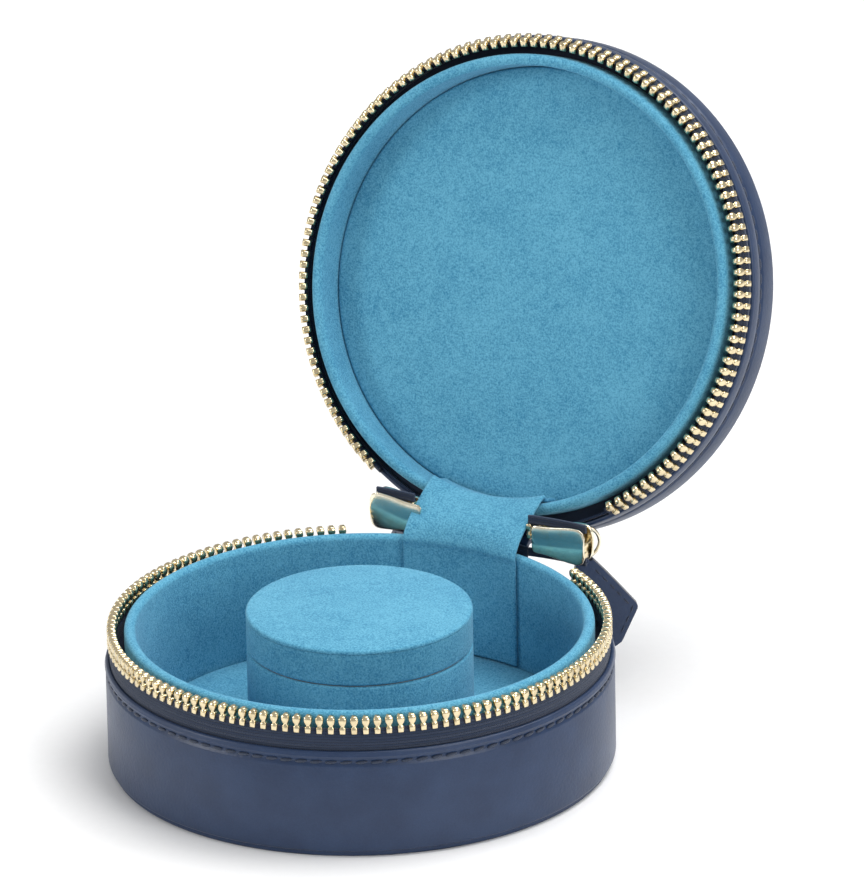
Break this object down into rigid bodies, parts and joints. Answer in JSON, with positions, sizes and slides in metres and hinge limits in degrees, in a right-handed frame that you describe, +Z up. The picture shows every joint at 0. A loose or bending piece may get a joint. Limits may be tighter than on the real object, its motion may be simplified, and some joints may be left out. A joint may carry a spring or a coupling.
{
  "type": "jewelry gift box",
  "caption": "Round zip-around jewellery gift box with a hinged lid, suede-lined compartments and a lidded ring box fixed in its middle.",
  "frame": {"origin": "centre of the base's underside, on the surface that the case stands on", "axes": "+Z up, +Y towards the hinge, +X to the right seen from the front, lid open"},
  "size_m": [0.115, 0.1714, 0.1409],
  "materials": {
    "navy_leather": "smooth coated navy leather, stitched along its rims",
    "blue_suede": "short-pile sky-blue suede cloth",
    "grey_card": "plain grey board",
    "navy_tape": "woven herringbone zipper tape",
    "gold_metal": "polished pale gold plating"
  },
  "bodies": {
    "base": {"base_bottom_leather": "navy_leather", "base_floor_board": "grey_card", "base_shell": "grey_card", "base_side_leather": "navy_leather", "base_lining_card": "grey_card", "base_lining_fabric": "blue_suede", "base_floor_pad": "blue_suede", "base_zip_tape": "navy_tape", "base_zip_teeth": "gold_metal", "hinge_strap": "blue_suede", "hinge_spine": "navy_leather", "drum_fabric": "blue_suede", "drum_wall_card": "grey_card", "drum_floor": "grey_card", "drum_collar": "grey_card"},
    "drum_lid": {"drum_lid_fabric": "blue_suede", "drum_lid_card": "grey_card", "drum_lid_top_card": "grey_card", "drum_lid_pad": "blue_suede"},
    "lid": {"lid_top_leather": "navy_leather", "lid_top_board": "grey_card", "lid_shell": "grey_card", "lid_side_leather": "navy_leather", "lid_lining_card": "grey_card", "lid_lining_fabric": "blue_suede", "lid_pad": "blue_suede", "lid_zip_tape": "navy_tape", "lid_zip_teeth": "gold_metal"},
    "zip_middle": {"zip_middle_tape": "navy_tape"},
    "zip_tail_left": {"zip_tail_left_teeth": "gold_metal", "zip_tail_left_tape": "navy_tape"},
    "slider_left": {"slider_left_body": "gold_metal", "slider_left_crown": "gold_metal"},
    "pull_ring_left": {"pull_left_ring": "gold_metal"},
    "pull_tab_left": {"pull_left_tab": "navy_leather", "pull_left_loop": "navy_leather"},
    "zip_tail_right": {"zip_tail_right_teeth": "gold_metal", "zip_tail_right_tape": "navy_tape"},
    "slider_right": {"slider_right_body": "gold_metal", "slider_right_crown": "gold_metal"},
    "pull_ring_right": {"pull_right_ring": "gold_metal"},
    "pull_tab_right": {"pull_right_tab": "navy_leather", "pull_right_loop": "navy_leather"}
  },
  "joints": [
    {"name": "lid_hinge", "type": "hinge", "parent": "base", "child": "lid", "pos_m": [0, 0.0575, 0.0335], "axis": [-1, 0, 0], "range_deg": [-110, 0], "deforming": ["hinge_strap", "hinge_spine"]},
    {"name": "drum_lid_lift", "type": "slide", "parent": "base", "child": "drum_lid", "axis": [0, 0, 1], "range_m": [0, 0.03]},
    {"name": "zip_middle_lift", "type": "slide", "parent": "base", "child": "zip_middle", "axis": [0, 0, 1], "range_m": [-0.0031, 0]},
    {"name": "zip_tail_left_swing", "type": "hinge", "parent": "zip_middle", "child": "zip_tail_left", "pos_m": [-0.01478, 0.05402, 0.0366], "axis": [0, 0, -1], "range_deg": [-22.3, 0]},
    {"name": "slider_left_travel", "type": "hinge", "parent": "zip_tail_left", "child": "slider_left", "pos_m": [-0.0216, -0.00157, 0.0366], "axis": [0, 0, -1], "range_deg": [-145, 0]},
    {"name": "pull_left_ring_lift", "type": "hinge", "parent": "slider_left", "child": "pull_ring_left", "pos_m": [-0.02003, 0.05913, 0.0366], "axis": [0.9987, -0.0506, 0], "range_deg": [0, 40]},
    {"name": "pull_left_tab_swing", "type": "hinge", "parent": "pull_ring_left", "child": "pull_tab_left", "pos_m": [-0.02081, 0.05976, 0.031], "axis": [0.7782, -0.628, 0], "range_deg": [0, 25]},
    {"name": "zip_tail_right_swing", "type": "hinge", "parent": "zip_middle", "child": "zip_tail_right", "pos_m": [0.01478, 0.05402, 0.0366], "axis": [0, 0, 1], "range_deg": [-22.3, 0]},
    {"name": "slider_right_travel", "type": "hinge", "parent": "zip_tail_right", "child": "slider_right", "pos_m": [0.0216, -0.00157, 0.0366], "axis": [0, 0, 1], "range_deg": [-145, 0]},
    {"name": "pull_right_ring_lift", "type": "hinge", "parent": "slider_right", "child": "pull_ring_right", "pos_m": [0.02501, 0.05906, 0.0366], "axis": [0.9995, -0.0314, 0], "range_deg": [0, 40]},
    {"name": "pull_right_tab_swing", "type": "hinge", "parent": "pull_ring_right", "child": "pull_tab_right", "pos_m": [0.02583, 0.05962, 0.031], "axis": [0.8271, 0.5621, 0], "range_deg": [0, 25]}
  ],
  "couplings": [
    {"joint": "zip_middle_lift", "follows": "lid_hinge", "m_per_rad": 0.0016147},
    {"joint": "zip_tail_left_swing", "follows": "lid_hinge", "ratio": 0.20273},
    {"joint": "zip_tail_right_swing", "follows": "lid_hinge", "ratio": 0.20273}
  ]
}
